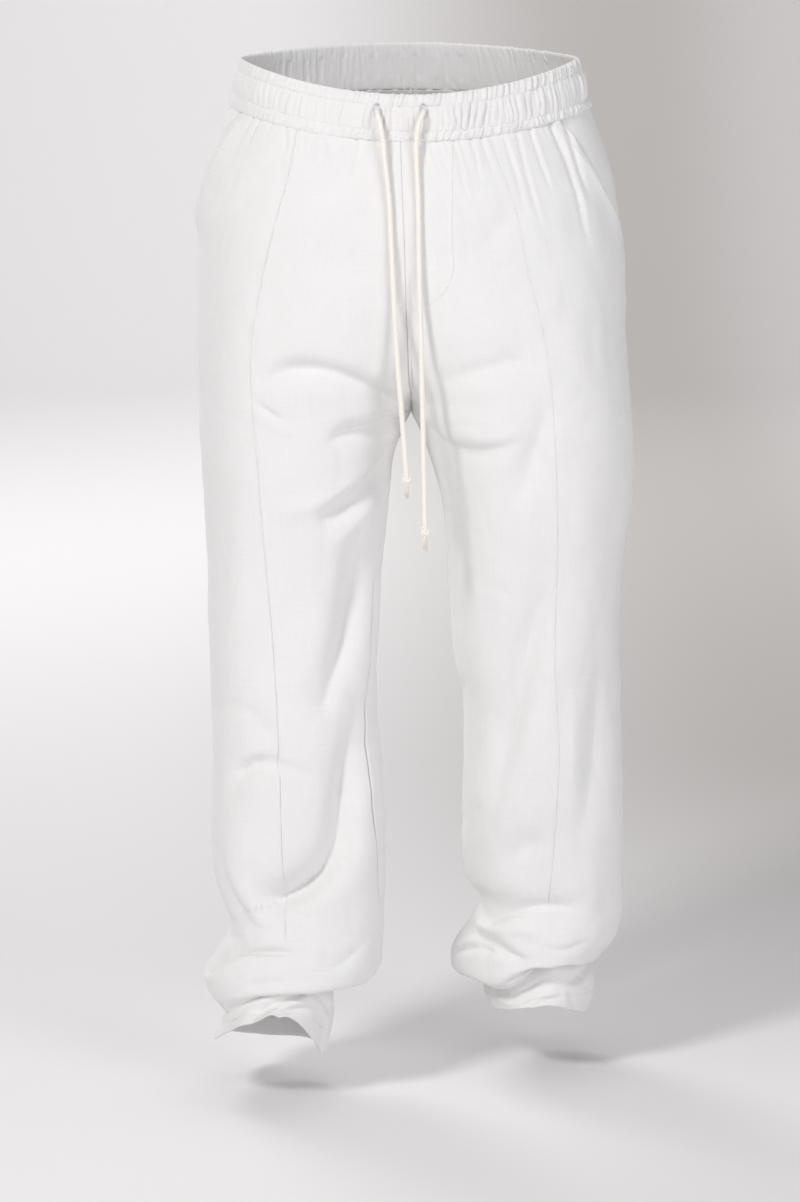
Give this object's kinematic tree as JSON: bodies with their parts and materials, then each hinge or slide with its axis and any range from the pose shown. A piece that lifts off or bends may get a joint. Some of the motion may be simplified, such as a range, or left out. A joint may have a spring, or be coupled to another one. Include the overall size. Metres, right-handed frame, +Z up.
{
  "type": "drawstring trousers",
  "caption": "Loose straight linen trousers, worn and standing, with a gathered elastic waist, free drawstring ends, slant pockets, stitched creases and stacked hems.",
  "frame": {"origin": "middle of the waist, level with the upper side seams of the waistband, where the wearer's waist holds it", "axes": "+Z up, the front of the trousers faces -Y, +X towards the wearer's left"},
  "size_m": [0.4308, 0.3408, 0.984],
  "materials": {
    "waistband_linen": "matte",
    "front_right_linen": "matte",
    "front_left_linen": "matte",
    "back_right_linen": "matte",
    "back_left_linen": "matte",
    "pocket_facing_right_linen": "matte",
    "pocket_facing_left_linen": "matte",
    "fly_facing_linen": "matte",
    "drawstring_right_cotton": "matte",
    "drawstring_left_cotton": "matte",
    "drawstring_knot_right_cotton": "matte",
    "drawstring_knot_left_cotton": "matte"
  },
  "bodies": {
    "root": {"waistband": "waistband_linen", "front_right": "front_right_linen", "front_left": "front_left_linen", "back_right": "back_right_linen", "back_left": "back_left_linen", "pocket_facing_right": "pocket_facing_right_linen", "pocket_facing_left": "pocket_facing_left_linen", "fly_facing": "fly_facing_linen", "drawstring_right": "drawstring_right_cotton", "drawstring_left": "drawstring_left_cotton", "drawstring_knot_right": "drawstring_knot_right_cotton", "drawstring_knot_left": "drawstring_knot_left_cotton"}
  },
  "joints": []
}
